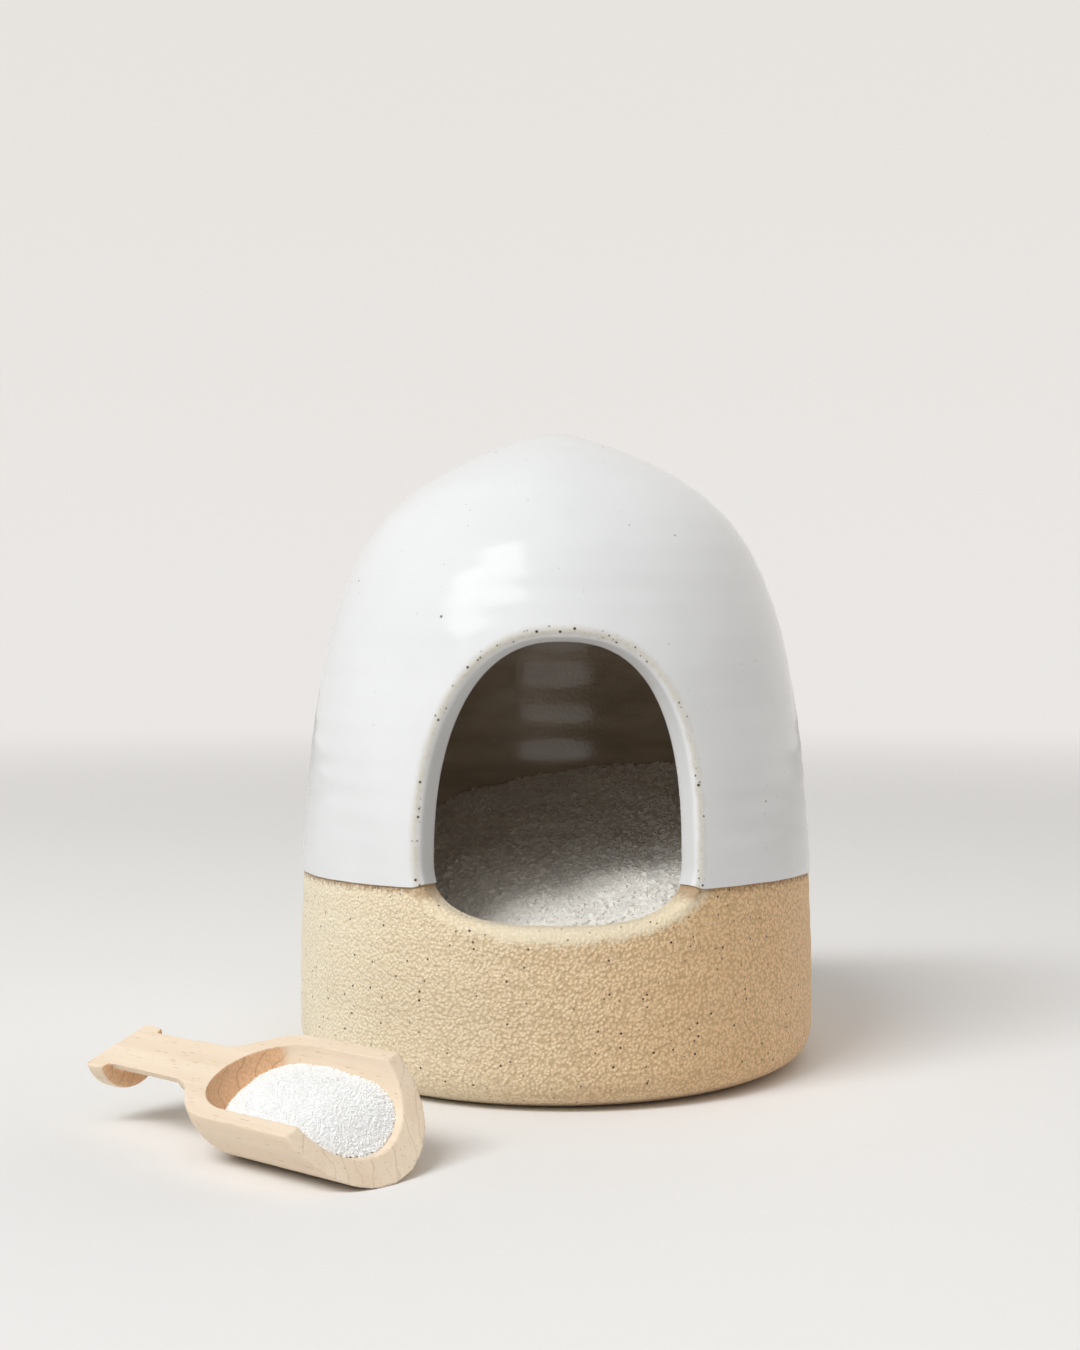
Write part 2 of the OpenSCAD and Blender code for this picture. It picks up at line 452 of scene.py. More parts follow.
def outerSection():
    lean = math.radians(pot["lean"])
    slope = math.radians(pot["crownSlope"])
    leanWay = Vector((-math.sin(lean), math.cos(lean)))
    crownWay = Vector((-math.cos(slope), math.sin(slope)))
    foot, belly, shoulder, tip, peak = (pot[k] for k in ("foot", "belly", "shoulder", "tip", "peak"))
    line = [foot]
    footOut, footUp = pot["footPull"]
    wallUp, wallIn = pot["wallPull"]
    crownUp, crownIn = pot["crownPull"]
    line += curveLine(foot, foot + footOut, belly - footUp, belly)
    line += curveLine(belly, belly + Vector((0, wallUp)), shoulder - wallIn * leanWay, shoulder, 120)
    line += curveLine(shoulder, shoulder + crownUp * leanWay, tip - crownIn * crownWay, tip, 90)
    line += curveLine(tip, tip + pot["tipPull"] * crownWay, peak + Vector((pot["tipPull"], 0)), peak, 20)
    return np.array(line)


def movedSection(line, by):
    way = np.gradient(line, axis=0)
    way /= np.linalg.norm(way, axis=1)[:, None]
    moved = line + by * np.stack([way[:, 1], -way[:, 0]], axis=1)
    moved[-1] = (0, line[-1][1] + by)
    return moved


def innerSection(by):
    line = movedSection(outer, -pot["wall"] - by)
    low = pot["floor"] + by
    cove = pot["cove"] - by
    line = line[(line[:, 1] > low + cove) & (line[:, 0] >= 0)]
    cornerR = line[0][0] - cove
    corner = [(cornerR + cove * math.sin(a), low + cove - cove * math.cos(a))
              for a in np.linspace(0, math.pi / 2, 12)]
    return np.vstack([[(0, low)], corner, line])


def alongSection(line, step):
    length = np.concatenate([[0], np.cumsum(np.linalg.norm(np.diff(line, axis=0), axis=1))])
    count = round(length[-1] / step)
    at = np.linspace(0, length[-1], count + 1)
    return np.stack([np.interp(at, length, line[:, 0]), np.interp(at, length, line[:, 1])], axis=1)


def spot(r, turn, z):
    return Vector((r * math.sin(turn), -r * math.cos(turn), z)) * mm


outer = outerSection()
upper = outer[np.argmax(outer[:, 0]):]


def wallRadius(z):
    return float(np.interp(z, upper[:, 1], upper[:, 0]))


def wallWay(z):
    way = Vector((2.0, wallRadius(z - 1) - wallRadius(z + 1)))
    return way.normalized()


def fullness(v, power):
    return math.copysign(abs(v) ** (2 / power), v)


def archPower(up, right):
    # the arch is fuller on its right, and its sill has tighter corners
    if not up:
        return arch["sillPower"]
    return arch["rightPower"] if right else arch["leftPower"]


def archOutline(a, opened):
    up = math.sin(a) >= 0
    power = archPower(up, math.cos(a) > 0)
    rise = arch["topZ"] - arch["midZ"] if up else arch["midZ"] - arch["sillZ"]
    x = (arch["halfWidth"] + opened) * fullness(math.cos(a), power)
    return x, arch["midZ"] + (rise + opened) * fullness(math.sin(a), power)


def archAngle(x, z):
    # the arch's own angle in the direction of a point of the front view
    up = z >= arch["midZ"]
    power = archPower(up, x > 0)
    rise = arch["topZ"] - arch["midZ"] if up else arch["midZ"] - arch["sillZ"]
    across = math.copysign(abs(x / arch["halfWidth"]) ** (power / 2), x)
    along = math.copysign(abs((z - arch["midZ"]) / rise) ** (power / 2), z - arch["midZ"])
    return math.atan2(along, across)


def archReach(points):
    # how far each point lies outside the arch's outline, in mm, seen from the front
    reach = []
    for x, y, z in points / mm:
        if y > 0:
            reach.append(99.0)
            continue
        x0, z0 = archOutline(archAngle(x, z), 0)
        reach.append(math.hypot(x, z - arch["midZ"]) - math.hypot(x0, z0 - arch["midZ"]))
    return np.array(reach)


def archSpot(a, opened, out):
    # the turn, height and radius of a point on the arch, moved out of the wall by out
    x, z = archOutline(a, opened)
    way = wallWay(z)
    turn = math.asin(max(-1.0, min(1.0, x / wallRadius(z))))
    return turn, z + out * way.y, wallRadius(z) + out * way.x


def lipRadius(a):
    return arch["lip"] + (arch["sillLip"] - arch["lip"]) * max(0.0, -math.sin(a)) ** 2


def edgeRings(coat):
    # how far each ring is opened and set in: round the lip, then through the wall
    def ring(part):
        def place(a):
            r = lipRadius(a) + coat
            if part <= 1:
                bend = part * math.pi / 2
                return r - r * math.sin(bend) - coat, coat - (r - r * math.cos(bend))
            deep = r + (pot["wall"] - arch["innerEdge"] + coat - r) * (part - 1)
            return -coat, coat - deep
        return place
    return [ring(part) for part in (0, 0.2, 0.4, 0.6, 0.8, 1, 1.35, 1.7, 2)]


def inWindow(middle, low, high):
    turn = math.degrees(math.atan2(middle.x, -middle.y))
    return abs(turn) < arch["windowTurn"] and low < middle.z / mm < high


def cutWindow(bm, low, high):
    # opens the window and gives its border points in order round the arch
    faces = [f for f in bm.faces if inWindow(f.calc_center_median(), low, high)]
    rim = {v for f in faces for v in f.verts}
    bmesh.ops.delete(bm, geom=faces, context="FACES")
    rim = [v for v in rim if v.is_valid]

    def order(v):
        a = math.atan2(v.co.z / mm - arch["midZ"], v.co.x / mm)
        return a + math.tau if a < -math.pi / 2 else a
    return sorted(rim, key=order)


def addRing(bm, last, points, closed=True):
    ring = [bm.verts.new(p) for p in points]
    for i in range(len(ring) if closed else len(ring) - 1):
        j = (i + 1) % len(ring)
        bm.faces.new((last[i], last[j], ring[j], ring[i]))
    return ring


def ringsToArch(bm, border, angles, opened, out, radiusAt, count, closed=True):
    # even steps over the wall from the window's border to the edge of the arch
    starts = [(math.atan2(v.co.x, -v.co.y), v.co.z / mm) for v in border]
    last = border
    for k in range(1, count + 1):
        share = k / count
        points = []
        for (turn, z), a in zip(starts, angles):
            endTurn, endZ, endR = archSpot(a, opened(a), out)
            midZ = z + (endZ - z) * share
            r = endR if k == count else radiusAt(midZ)
            points.append(spot(r, turn + (endTurn - turn) * share, midZ))
        last = addRing(bm, last, points, closed)
    return last


def glazeLine(turn):
    # height of the glaze line where the wall is turned to this side
    slope = math.tan(math.radians(glaze["tilt"]))
    z = glaze["height"] + slope * wallRadius(glaze["height"]) * math.cos(turn)
    slow, quick = glaze["waverPace"]
    wide = Vector((math.sin(turn) * slow, math.cos(turn) * slow, 0.7))
    fine = Vector((math.sin(turn) * quick, math.cos(turn) * quick, 4.1))
    return z + glaze["waver"] * (noise.noise(wide) + 0.5 * noise.noise(fine))


def throwing(points, inside=False):
    # soft rings left by the potter's fingers, always drawn in from the true section
    x, y, z = (points / mm).T
    turn = np.arctan2(x, -y)
    pitch = throwRings["innerPitch"] if inside else throwRings["pitch"]
    shift = throwRings["innerShift"] if inside else 0.0
    wave = np.sin(math.tau * (z + shift + 0.35 * np.sin(turn + 0.4)) / pitch)
    slow = np.sin(math.tau * z / throwRings["slowPitch"] + 1.3 + 0.6 * np.sin(2 * turn))
    depth = throwRings["deep"] * (wave + 0.8 * slow - 1.8) / 2
    crown = np.clip(np.hypot(x, y) / throwRings["crownFade"], 0, 1)
    foot = np.clip(z / throwRings["footFade"], 0, 1)
    return depth * (crown * foot)


def drawIn(points, depth):
    # moves points towards the pot's axis, by mm
    r = np.hypot(points[:, 0], points[:, 1])
    scale = np.where(r > mm, 1 + depth * mm / np.maximum(r, mm), 1.0)
    moved = points.copy()
    moved[:, 0] *= scale
    moved[:, 1] *= scale
    return moved


def rowSpots(rows):
    return [spot(r, 0, z) for r, z in rows]


# Clay body

def archedWall(name, section, low, high):
    # a turned wall with the arch's window open, and the border of that window
    piece = spinLine(rowSpots(alongSection(section, pot["rowStep"])), name, pot["columns"])
    bm = bmesh.new()
    bm.from_mesh(piece.data)
    border = cutWindow(bm, low, high)
    return piece, bm, border


def putBack(piece, bm):
    bm.to_mesh(piece.data)
    bm.free()
    piece.data.update()


def lineRadius(line):
    # the radius of the upright part of a section at a height
    rising = line[np.argmax(line[:, 0]):]

    def radiusAt(z):
        return float(np.interp(z, rising[:, 1], rising[:, 0]))
    return radiusAt


def archPoints(angles, ring):
    points = []
    for a in angles:
        turn, z, r = archSpot(a, *ring(a))
        points.append(spot(r, turn, z))
    return points


def makeClay():
    piece, bm, border = archedWall("clayBody", outer, arch["windowLow"], arch["windowHigh"])
    angles = [archAngle(v.co.x / mm, v.co.z / mm) for v in border]
    last = ringsToArch(bm, border, angles, lipRadius, 0, wallRadius, 6)
    for ring in edgeRings(0)[1:]:
        last = addRing(bm, last, archPoints(angles, ring))
    for opened in (arch["innerEdge"], arch["innerSeam"]):
        last = addRing(bm, last, archPoints(angles, lambda a: (opened, -pot["wall"])))
    putBack(piece, bm)

    # the inside is joined on at the seam behind the arch
    section = innerSection(0)
    inside, bm, _ = archedWall("clayInside", section, arch["windowLow"], arch["innerWindowHigh"])
    putBack(inside, bm)
    pick(piece)
    inside.select_set(True)
    bpy.ops.object.join()
    bm = bmesh.new()
    bm.from_mesh(piece.data)
    loose = [e for e in bm.edges if e.is_boundary]
    foot = [e for e in loose if e.verts[0].co.z < mm]
    bmesh.ops.bridge_loops(bm, edges=[e for e in loose if e not in foot])
    bmesh.ops.holes_fill(bm, edges=foot, sides=0)
    base = [f for f in bm.faces if len(f.verts) > 4]
    bmesh.ops.inset_individual(bm, faces=base, thickness=2 * mm)
    bmesh.ops.recalc_face_normals(bm, faces=bm.faces)
    putBack(piece, bm)
    useModifier(piece, "SUBSURF", levels=1, render_levels=1)
    points = readPoints(piece)
    reach = archReach(points)
    turns = np.arctan2(points[:, 0], -points[:, 1])
    wall = np.array([wallRadius(z / mm) for z in points[:, 2]])
    outside = np.hypot(points[:, 0], points[:, 1]) / mm - wall
    clear = np.clip((reach - arch["sillLip"]) / throwRings["edgeFade"], 0, 1)
    writePoints(piece, drawIn(points, throwing(points) * clear * (outside > -1)))
    writeMask(piece, "archReach", reach)
    writeMask(piece, "underGlaze", [glazeLine(t) - z / mm for t, z in zip(turns, points[:, 2])])
    smoothFaces(piece, 50)
    return piece


# White glaze over the dome and round the arch's edge

def faceFrom(piece, middle):
    # turns an open sheet so that its faces look away from a point
    away = sum(p.normal.dot(p.center - middle) for p in piece.data.polygons)
    if away < 0:
        piece.data.flip_normals()


def glazeAngles(border):
    # the border's points, shared out over the arch from glaze line to glaze line
    def crossing(low, high):
        for _ in range(40):
            mid = (low + high) / 2
            x, z = archOutline(mid, lipRadius(mid))
            above = z > glazeLine(math.asin(x / wallRadius(z)))
            low, high = (low, mid) if above else (mid, high)
        return (low + high) / 2
    right = crossing(-math.pi / 2, 0.0)
    left = crossing(math.pi * 1.5, math.pi)
    ways = [archAngle(v.co.x / mm, v.co.z / mm) for v in border]
    ways = [w + math.tau if w < -math.pi / 2 else w for w in ways]
    return [right + (left - right) * (w - ways[0]) / (ways[-1] - ways[0]) for w in ways]


def makeGlaze():
    coat = glaze["thick"]
    face = movedSection(outer, coat)
    face = face[np.argmax(face[:, 0]):]
    faceRadius = lineRadius(face)
    piece = spinLine(rowSpots(alongSection(face[face[:, 1] >= glaze["height"]], pot["rowStep"])),
                     "glazeCoat", pot["columns"])
    level = glaze["levelFrom"]
    for v in piece.data.vertices:
        z = v.co.z / mm
        if z < level:
            turn = math.atan2(v.co.x, -v.co.y)
            z += (glazeLine(turn) - glaze["height"]) * (level - z) / (level - glaze["height"])
            v.co = spot(faceRadius(z), turn, z)
    bm = bmesh.new()
    bm.from_mesh(piece.data)
    border = cutWindow(bm, 0, arch["windowHigh"])
    angles = glazeAngles(border)
    last = ringsToArch(bm, border, angles, lipRadius, coat, faceRadius, 6, False)
    for ring in edgeRings(coat)[1:]:
        last = addRing(bm, last, archPoints(angles, ring), False)
    # behind the wall the coat ends in a soft corner
    for opened, out in ((0.15 - coat, -pot["wall"] + 0.15), (0.5 - coat, -pot["wall"] - 0.1)):
        last = addRing(bm, last, archPoints(angles, lambda a: (opened, out)), False)
    bmesh.ops.recalc_face_normals(bm, faces=bm.faces)
    putBack(piece, bm)
    faceFrom(piece, pot["middle"] * mm)
    useModifier(piece, "SUBSURF", levels=1, render_levels=1)
    points = readPoints(piece)
    reach = archReach(points)
    clear = np.clip((reach - arch["lip"] - 0.5) / throwRings["edgeFade"], 0, 1)
    writePoints(piece, drawIn(points, throwing(points) * clear))
    writeMask(piece, "archReach", reach)
    useModifier(piece, "SOLIDIFY", thickness=coat * mm, offset=-1, use_even_offset=True)
    smoothFaces(piece, 60)
    return piece


# Liner over the whole inside

def makeLiner():
    coat = glaze["thick"]
    section = innerSection(coat)
    piece, bm, border = archedWall("linerGlaze", section, arch["windowLow"], arch["innerWindowHigh"])
    angles = [archAngle(v.co.x / mm, v.co.z / mm) for v in border]
    opened = arch["innerEdge"] + glaze["linerGap"]
    ringsToArch(bm, border, angles, lambda a: opened, -pot["wall"] - coat, lineRadius(section), 5)
    bmesh.ops.recalc_face_normals(bm, faces=bm.faces)
    putBack(piece, bm)
    faceFrom(piece, pot["middle"] * mm)
    piece.data.flip_normals()
    useModifier(piece, "SUBSURF", levels=1, render_levels=1)
    points = readPoints(piece)
    writePoints(piece, drawIn(points, throwRings["innerGain"] * throwing(points, True)))
    useModifier(piece, "SOLIDIFY", thickness=glaze["linerThick"] * mm, offset=-1)
    smoothFaces(piece, 60)
    return piece


# Salt in the pot and in the scoop

saltBed = {
    "middle": (0.0, 0.0),
    "reach": 60.0,
    "height": 46.0,
    "riseWay": 57.0,
    "slope": 18.0,
    "lumps": 1.1,
    "sink": 5.0,
    "crystals": 9500,
    "crystalSize": (0.7, 1.5),
    "crystalTilt": 0.5,
    "crystalLift": (-0.43, -0.15),
}
scoopSalt = {
    "middle": (50.0, -1.0),
    "reach": 24.0,
    "level": -0.7,
    "tilt": 0.13,
    "crown": 0.0113,
    "fallFrom": 48.0,
    "backFall": 0.0195,
    "frontFall": 0.006,
    "lipFrom": 60.0,
    "lipFall": 0.45,
    "lipSoft": 2.0,
    "mouthGap": 1.3,
    "mouthSoft": 1.6,
    "rimGap": 0.3,
    "lumps": 0.3,
    "sink": 1.2,
    "crystals": 9000,
    "crystalSize": (0.3, 0.6),
    "crystalTilt": 0.4,
    "crystalLift": (-0.42, -0.08),
}
# one grain: how far it narrows, how much commoner small ones are, and how uneven its sides are
crystal = {"narrow": 0.8, "smallMore": 1.6, "uneven": (0.7, 1.15), "wallGap": 0.1}
scoop = {
    "place": (-86.4, -58.8, 14.8),
    "turn": -38.0,
    "roll": 18.0,
    "neck": Vector((24.0, 6.0)),
    "neckPull": Vector((6.5, 0.6)),
    "bowl": Vector((40.0, 14.8)),
    "bowlPull": 8.0,
    "hollowR": 11.8,
    "hollowX": 43.0,
    "hollowRise": 1.6,
    "length": 72.0,
    "mouthX": 61.6,
    "handleEnds": (3, 30),
    "handleWide": 12.6,
    "handleDeep": 4.0,
    "knobR": 8.0,
    "knobThick": 5.5,
    "knobRim": 1.6,
    "knobBevel": [(0.06, 1.0), (0.36, 0.3), (1, 0)],
    "columns": 96,
    "voxel": 0.26,
}
bedWall = lineRadius(innerSection(glaze["thick"]))
mouthSlant = (scoop["length"] - scoop["mouthX"]) / scoop["bowl"].y
rng = np.random.default_rng(7)


def bedHeight(x, y):
    way = math.radians(saltBed["riseWay"])
    slope = math.tan(math.radians(saltBed["slope"]))
    rough = noise.noise(Vector((x / 13, y / 13, 0.3))) + 0.5 * noise.noise(Vector((x / 5, y / 5, 2.3)))
    level = saltBed["height"] + slope * (x * math.cos(way) + y * math.sin(way))
    return level + saltBed["lumps"] * (rough - 0.5)


def inBed(x, y, z, gap):
    return math.hypot(x, y) < bedWall(z) - gap


def heapHeight(x, y):
    # higher on the scoop's low side, and falling to its back wall and down along its mouth
    beyond = x - scoopSalt["lipFrom"]
    fall = scoopSalt["backFall"] * max(0.0, scoopSalt["fallFrom"] - x - 0.5 * y) ** 2
    fall += scoopSalt["frontFall"] * max(0.0, x - scoopSalt["fallFrom"]) ** 2
    fall += scoopSalt["lipFall"] * (beyond + math.hypot(beyond, scoopSalt["lipSoft"])) / 2
    rough = noise.noise(Vector((x / 5, y / 5, 1.7)))
    level = scoopSalt["level"] - scoopSalt["tilt"] * y - scoopSalt["crown"] * y * y - fall
    mouth = (scoop["mouthX"] - scoopSalt["mouthGap"] - x) / mouthSlant
    lower = (level + mouth - math.hypot(level - mouth, scoopSalt["mouthSoft"])) / 2
    return lower + scoopSalt["lumps"] * (rough - 0.5)


def inScoop(x, y, z, gap):
    back = max(0.0, scoop["hollowX"] - x)
    inside = math.hypot(back, y, z - scoop["hollowRise"]) < scoop["hollowR"] - gap
    return inside and x < scoop["mouthX"] - mouthSlant * z - scoopSalt["rimGap"] - gap


def makeSalt(name, values, heightAt, inside):
    # a round sheet whose rim is carried out to the wall
    rings, columns, gap = 44, 96, 0.3
    middle = values["middle"]
    piece = spinLine([Vector((0, -r / rings, 0)) for r in range(rings + 1)], name, columns)
    points = readPoints(piece)
    ways = np.arctan2(points[:, 1], points[:, 0])
    shares = np.hypot(points[:, 0], points[:, 1])
    edges = {}
    for way in set(np.round(ways, 4)):
        near, far = 0.0, values["reach"]
        for _ in range(24):
            half = (near + far) / 2
            x = middle[0] + half * math.cos(way)
            y = middle[1] + half * math.sin(way)
            near, far = (half, far) if inside(x, y, heightAt(x, y), gap) else (near, half)
        edges[way] = near
    placed = []
    for way, share in zip(np.round(ways, 4), shares):
        x = middle[0] + share * edges[way] * math.cos(way)
        y = middle[1] + share * edges[way] * math.sin(way)
        placed.append((x, y, heightAt(x, y)))
    writePoints(piece, placed)
    faceFrom(piece, Vector((middle[0], middle[1], -999.0)))
    useModifier(piece, "SOLIDIFY", thickness=values["sink"], offset=-1)
    return piece


def crystalForm():
    # a cube that narrows to its top
    startFresh()
    bpy.ops.mesh.primitive_cube_add(size=1)
    grain = takeUp("grain")
    top = [v for v in grain.data.vertices if v.co.z > 0]
    for v in top:
        v.co.xy *= crystal["narrow"]
    return grain


def strewCrystals(piece, values, heightAt, inside):
    grain = crystalForm()
    reach = values["reach"]
    form = readPoints(grain)
    sides = [list(p.vertices) for p in grain.data.polygons]
    bpy.data.objects.remove(grain)
    points, faces = [], []
    count = 0
    while count < values["crystals"]:
        x, y = np.array(values["middle"]) + rng.uniform(-reach, reach, 2)
        z = heightAt(x, y)
        low, high = values["crystalSize"]
        size = low + (high - low) * rng.random() ** crystal["smallMore"]
        tilt = values["crystalTilt"]
        turn = Euler((*rng.uniform(-tilt, tilt, 2), rng.uniform(0, math.tau))).to_matrix()
        shape = size * rng.uniform(*crystal["uneven"], 3)
        if not inside(x, y, z, crystal["wallGap"]):
            continue
        first = len(points)
        lift = size * rng.uniform(*values["crystalLift"])
        points += [tuple(turn @ Vector(p * shape) + Vector((x, y, z + lift))) for p in form]
        faces += [[first + i for i in s] for s in sides]
        count += 1
    mesh = bpy.data.meshes.new(piece.name + "Grains")
    mesh.from_pydata(points, [], faces)
    grains = bpy.data.objects.new(mesh.name, mesh)
    bpy.context.scene.collection.objects.link(grains)
    pick(piece)
    grains.select_set(True)
    bpy.ops.object.join()


# Beech scoop, made in its own frame: +X runs from knob to mouth, and the flat top is at height 0

scoopFrame = Matrix.Translation(Vector(scoop["place"])) @ Euler(
    (math.radians(scoop["roll"]), 0, math.radians(scoop["turn"]))).to_matrix().to_4x4()
alongX = Matrix.Rotation(math.radians(90), 4, "Y")


def sliceOff(piece, place, way):
    # takes off what lies beyond a plane and closes the cut
    pick(piece)
    bpy.ops.object.mode_set(mode="EDIT")
    bpy.ops.mesh.select_all(action="SELECT")
    bpy.ops.mesh.bisect(plane_co=place, plane_no=way, use_fill=True, clear_outer=True)
    bpy.ops.object.mode_set(mode="OBJECT")


def sortPoints(piece):
    # a boolean leaves its points in a new order each run, which would change the remesh a little
    points = readPoints(piece)
    order = np.lexsort(np.round(points, 4).T)
    rank = np.argsort(order)
    faces = []
    for p in piece.data.polygons:
        face = [int(rank[v]) for v in p.vertices]
        start = face.index(min(face))
        faces.append(face[start:] + face[:start])
    piece.data.clear_geometry()
    piece.data.from_pydata(points[order], [], sorted(faces))
    piece.data.update()


def turned(name, line, lift=0.0):
    # a line of radius and length, spun about the scoop's own axis
    piece = spinLine([Vector((0, -r, x)) for x, r in line], name, scoop["columns"])
    piece.data.transform(Matrix.Translation((0, 0, lift)) @ alongX)
    faceOutwards(piece)
    return piece


def makeScoop():
    # bowl and hollow run on beyond the mouth, which is sliced off last
    neck, full, hollowR = scoop["neck"], scoop["bowl"], scoop["hollowR"]
    beyond = scoop["length"] + 10
    swell = curveLine(neck, neck + scoop["neckPull"], full - Vector((scoop["bowlPull"], 0)), full, 40)
    bowl = turned("scoopBowl", [(neck.x, 0), neck] + swell + [(beyond, full.y), (beyond, 0)])
    end = [(scoop["hollowX"] - hollowR * math.cos(a), hollowR * math.sin(a))
           for a in np.linspace(0, math.pi / 2, 24)]
    hollow = turned("scoopHollow", end + [(beyond + 5, hollowR), (beyond + 5, 0)], scoop["hollowRise"])
    halfWide, deep = scoop["handleWide"] / 2, scoop["handleDeep"]
    handleR = (halfWide ** 2 + deep ** 2) / (2 * deep)
    near, far = scoop["handleEnds"]
    handle = turned("scoopHandle", [(near, 0), (near, handleR), (far, handleR), (far, 0)], handleR - deep)
    knobR, thick, rim = scoop["knobR"], scoop["knobThick"], scoop["knobRim"]
    edge = [(thick - rim + rim * math.sin(a), knobR - rim + rim * math.cos(a))
            for a in np.linspace(0, math.pi / 2, 8)]
    bevel = [(x, knobR - less) for x, less in scoop["knobBevel"]]
    knob = turned("scoopKnob", [(bevel[0][0], 0)] + bevel + edge + [(thick, 0)])
    for part in (handle, knob):
        useModifier(bowl, "BOOLEAN", operation="UNION", object=part, solver="EXACT")
        bpy.data.objects.remove(part)
    useModifier(bowl, "BOOLEAN", operation="DIFFERENCE", object=hollow, solver="EXACT")
    bpy.data.objects.remove(hollow)
    sliceOff(bowl, (0, 0, 0), (0, 0, 1))
    lean = math.atan(mouthSlant)
    sliceOff(bowl, (scoop["mouthX"], 0, 0), (math.cos(lean), 0, math.sin(lean)))
    bowl.name = "beechScoop"
    sortPoints(bowl)
    useModifier(bowl, "REMESH", mode="VOXEL", voxel_size=scoop["voxel"], use_smooth_shade=True)
    useModifier(bowl, "SMOOTH", factor=0.5, iterations=3)
    return bowl


def markGrain(piece):
    # keeps each point's place in the scoop's own frame, and how squarely its face cuts the grain
    points = readPoints(piece)
    grainPlace = piece.data.attributes.new("grainPlace", "FLOAT_VECTOR", "POINT")
    grainPlace.data.foreach_set("vector", points.ravel() * mm)
    ways = np.empty(points.size)
    piece.data.vertex_normals.foreach_get("vector", ways)
    writeMask(piece, "endGrain", np.clip(ways[0::3], 0, 1))


def toPlace(piece, place):
    piece.data.transform(Matrix.Scale(mm, 4) @ place)
    piece.data.update()


# Materials

clayLook = {
    "darkGrain": paint(217, 194, 161),
    "paleGrain": paint(224, 204, 174),
    "brightGrain": paint(228, 214, 188),
    "patch": paint(211, 185, 150),
    "speck": paint(52, 36, 24),
    "toasted": paint(150, 110, 66),
    # partly painted light: the sill's lip is painted paler where it catches the light
    "sillPaleLit": paint(236, 229, 205),
    # painted light and shade: these multiply the clay paler on its lit left and warmer on its shaded
    # right
    "paintedLitSide": (1.31, 1.49, 1.67, 1.0),
    "paintedShadeSide": (1.3, 1.12, 0.93, 1.0),
    # painted shade in the hollows between the grains, darkest towards the shaded right
    "litSideCreviceShade": (0.89, 0.86, 0.82, 1.0),
    "shadeSideCreviceShade": (0.73, 0.7, 0.64, 1.0),
    # from left to right, in metres
    "litToShadeFade": (-0.062, 0.05),
    "creviceShadeFade": (-0.045, 0.0),
    "sillLitFade": (-0.028, -0.006),
    "grainScale": 2500,
    "gritScale": 1450,
    "fineScale": 3200,
    "bandScale": (14, 14, 210),
    "bandShare": 0.2,
    "cloudScale": 70,
    "cloudShare": 0.25,
    "brightShare": 0.4,
    "sillEdge": {"scale": 900, "detail": 3, "by": 0.8},
    "toastEdge": {"scale": 1300, "detail": 3, "by": 0.8},
    "dots": {"scale": 520, "share": 1.0, "size": 0.13},
    "relief": 0.32,
    "roughness": 0.9,
    "specular": 0.2,
    "sheen": 0.25,
}


